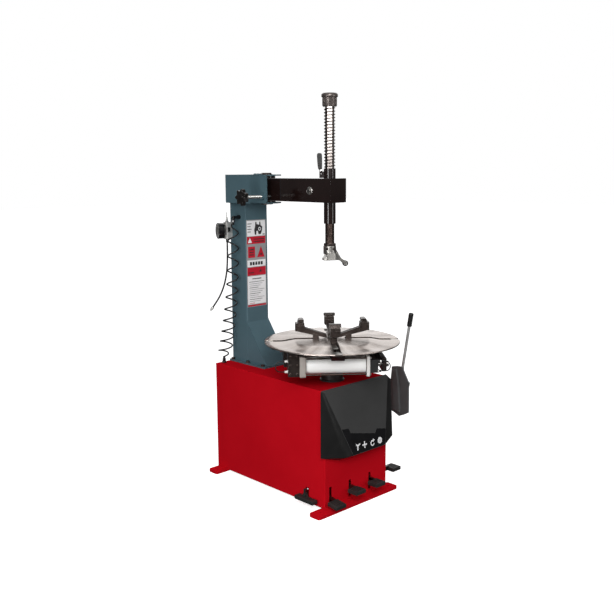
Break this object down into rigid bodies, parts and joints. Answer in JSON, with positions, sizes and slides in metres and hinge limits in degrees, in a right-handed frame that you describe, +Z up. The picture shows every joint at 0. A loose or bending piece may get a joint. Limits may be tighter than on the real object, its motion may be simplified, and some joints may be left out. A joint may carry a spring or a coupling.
{
  "type": "tire changer machine",
  "caption": "Swing-arm tire changer: red cabinet, rotary clamping table with jaws, column and swinging arm with a sprung tool shaft, side bead breaker and foot pedals.",
  "frame": {"origin": "on the floor, under the middle of the cabinet", "axes": "+Z up, -Y towards the operator and the front of the machine, +X towards the bead breaker side"},
  "size_m": [0.8562, 1.0927, 1.957],
  "materials": {
    "red_paint": "gloss",
    "teal_paint": "satin",
    "black_paint": "gloss",
    "dark_plastic": "satin",
    "blade_plastic": "satin",
    "black_plastic": "satin",
    "rubber": "matte",
    "stainless": "radially brushed",
    "cast_steel": "polished casting",
    "black_steel": "black oxide",
    "bright_steel": "polished",
    "dark_steel": "oiled",
    "silver": "anodised",
    "zinc": "zinc plated",
    "grey_cast": "painted casting",
    "hose": "satin"
  },
  "bodies": {
    "machine": {"base_frame": "red_paint", "cabinet_body": "red_paint", "left_side_panel": "red_paint", "front_cover": "dark_plastic", "wheel_support_pad": "rubber", "column": "teal_paint", "column_fasteners": "zinc", "head_bracket": "teal_paint", "shaft_collar": "black_plastic", "gearbox": "grey_cast", "motor": "grey_cast", "drive_belt": "rubber", "bead_arm_bracket": "red_paint", "bead_cylinder": "silver", "pedal_pivot_rods": "zinc", "air_fittings": "zinc", "gauge": "black_plastic", "inflation_hose": "hose", "inflation_chuck": "zinc", "coil_hose": "hose"},
    "limit_screw": {"limit_screw": "zinc"},
    "limit_knob": {"limit_knob": "black_plastic"},
    "swing_arm": {"swing_arm": "black_paint", "shaft_sleeve": "black_paint", "arm_fasteners": "zinc", "shaft_spring": "dark_steel"},
    "lock_lever": {"lock_lever": "black_plastic"},
    "tool_shaft": {"hex_shaft": "dark_steel", "shaft_cap": "black_plastic", "mount_head": "cast_steel", "head_fasteners": "black_steel"},
    "head_roller": {"head_roller": "black_plastic"},
    "turntable": {"turntable_disc": "stainless", "turntable_frame": "black_steel"},
    "jaw_front": {"jaw_slide_front": "black_steel", "jaw_front": "black_steel"},
    "jaw_back": {"jaw_slide_back": "black_steel", "jaw_back": "black_steel"},
    "jaw_left": {"jaw_slide_left": "black_steel", "jaw_left": "black_steel", "clamp_cylinder_front": "silver", "cylinder_rod_rear": "bright_steel", "cylinder_hose_left": "hose", "cylinder_hose_right": "hose"},
    "jaw_right": {"jaw_slide_right": "black_steel", "jaw_right": "black_steel", "clamp_cylinder_rear": "silver", "cylinder_rod_front": "bright_steel"},
    "gearbox_pulley": {"gearbox_pulley": "grey_cast"},
    "motor_pulley": {"motor_pulley": "grey_cast"},
    "bead_arm": {"bead_arm": "red_paint"},
    "bead_rod": {"bead_rod": "bright_steel"},
    "bead_blade": {"bead_blade": "black_steel", "bead_blade_cover": "blade_plastic", "blade_handle": "zinc"},
    "pedal_1": {"pedal_1": "rubber"},
    "pedal_2": {"pedal_2": "rubber"},
    "pedal_3": {"pedal_3": "rubber"},
    "pedal_left": {"pedal_left": "rubber"},
    "pedal_right": {"pedal_right": "rubber"}
  },
  "joints": [
    {"name": "table_turn", "type": "hinge", "parent": "machine", "child": "turntable", "pos_m": [-0.028, -0.273, 0.78], "axis": [0, 0, 1], "continuous": true},
    {"name": "jaw_left_slide", "type": "slide", "parent": "turntable", "child": "jaw_left", "axis": [-0.766, 0.6428, 0], "range_m": [0, 0.105]},
    {"name": "jaw_right_slide", "type": "slide", "parent": "turntable", "child": "jaw_right", "axis": [0.766, -0.6428, 0], "range_m": [0, 0.105]},
    {"name": "jaw_front_slide", "type": "slide", "parent": "turntable", "child": "jaw_front", "axis": [-0.6428, -0.766, 0], "range_m": [0, 0.105]},
    {"name": "jaw_back_slide", "type": "slide", "parent": "turntable", "child": "jaw_back", "axis": [0.6428, 0.766, 0], "range_m": [0, 0.105]},
    {"name": "gearbox_pulley_turn", "type": "hinge", "parent": "machine", "child": "gearbox_pulley", "pos_m": [0.1, -0.335, 0.48], "axis": [1, 0, 0], "continuous": true},
    {"name": "motor_pulley_turn", "type": "hinge", "parent": "machine", "child": "motor_pulley", "pos_m": [0.1, -0.335, 0.235], "axis": [1, 0, 0], "continuous": true},
    {"name": "arm_swing", "type": "hinge", "parent": "machine", "child": "swing_arm", "pos_m": [-0.028, 0.2, 1.507], "axis": [0, 0, 1], "range_deg": [0, 100]},
    {"name": "lock_lever_turn", "type": "hinge", "parent": "swing_arm", "child": "lock_lever", "pos_m": [-0.05749, -0.22952, 1.588], "axis": [-0.6947, -0.7193, 0], "range_deg": [0, 50]},
    {"name": "shaft_slide", "type": "slide", "parent": "swing_arm", "child": "tool_shaft", "axis": [0, 0, 1], "range_m": [-0.165, 0], "stiffness_N_per_m": 450, "springref_m": 0.33, "deforming": ["shaft_spring"]},
    {"name": "roller_turn", "type": "hinge", "parent": "tool_shaft", "child": "head_roller", "pos_m": [0.0373, -0.2988, 1.157], "axis": [0.5299, 0.848, 0], "continuous": true},
    {"name": "limit_screw_slide", "type": "slide", "parent": "machine", "child": "limit_screw", "axis": [1, 0, 0], "range_m": [-0.02, 0]},
    {"name": "limit_knob_turn", "type": "hinge", "parent": "limit_screw", "child": "limit_knob", "pos_m": [-0.26, 0.113, 1.473], "axis": [1, 0, 0], "range_deg": [-3600, 0]},
    {"name": "bead_arm_swing", "type": "hinge", "parent": "machine", "child": "bead_arm", "pos_m": [0.275, 0.33, 0.434], "axis": [0, 0, 1], "range_deg": [-13, 10]},
    {"name": "bead_rod_slide", "type": "slide", "parent": "machine", "child": "bead_rod", "axis": [1, 0, 0], "range_m": [-0.08, 0.06]},
    {"name": "blade_swivel", "type": "hinge", "parent": "bead_arm", "child": "bead_blade", "pos_m": [0.46243, -0.32366, 0.434], "axis": [0, 0, 1], "range_deg": [-4, 18]},
    {"name": "pedal_1_press", "type": "hinge", "parent": "machine", "child": "pedal_1", "pos_m": [-0.182, -0.25, 0.075], "axis": [1, 0, 0], "range_deg": [-9, 2], "stiffness_Nm_per_rad": 90, "springref_deg": -0.63},
    {"name": "pedal_2_press", "type": "hinge", "parent": "machine", "child": "pedal_2", "pos_m": [-0.047, -0.25, 0.075], "axis": [1, 0, 0], "range_deg": [0, 9], "stiffness_Nm_per_rad": 60, "springref_deg": -5.73},
    {"name": "pedal_3_press", "type": "hinge", "parent": "machine", "child": "pedal_3", "pos_m": [0.096, -0.25, 0.075], "axis": [1, 0, 0], "range_deg": [0, 9], "stiffness_Nm_per_rad": 60, "springref_deg": -5.73},
    {"name": "pedal_left_press", "type": "hinge", "parent": "machine", "child": "pedal_left", "pos_m": [-0.198, -0.294, 0.056], "axis": [0, -1, 0], "range_deg": [0, 9], "stiffness_Nm_per_rad": 60, "springref_deg": -5.73},
    {"name": "pedal_right_press", "type": "hinge", "parent": "machine", "child": "pedal_right", "pos_m": [0.125, -0.375, 0.075], "axis": [0, 1, 0], "range_deg": [0, 9], "stiffness_Nm_per_rad": 60, "springref_deg": -5.73}
  ],
  "couplings": [
    {"joint": "jaw_right_slide", "follows": "jaw_left_slide", "ratio": 1},
    {"joint": "jaw_front_slide", "follows": "jaw_left_slide", "ratio": 1},
    {"joint": "jaw_back_slide", "follows": "jaw_left_slide", "ratio": 1},
    {"joint": "gearbox_pulley_turn", "follows": "table_turn", "ratio": 30},
    {"joint": "motor_pulley_turn", "follows": "table_turn", "ratio": 60},
    {"joint": "limit_screw_slide", "follows": "limit_knob_turn", "m_per_rad": 0.00031831},
    {"joint": "bead_rod_slide", "follows": "bead_arm_swing", "m_per_rad": 0.325}
  ]
}
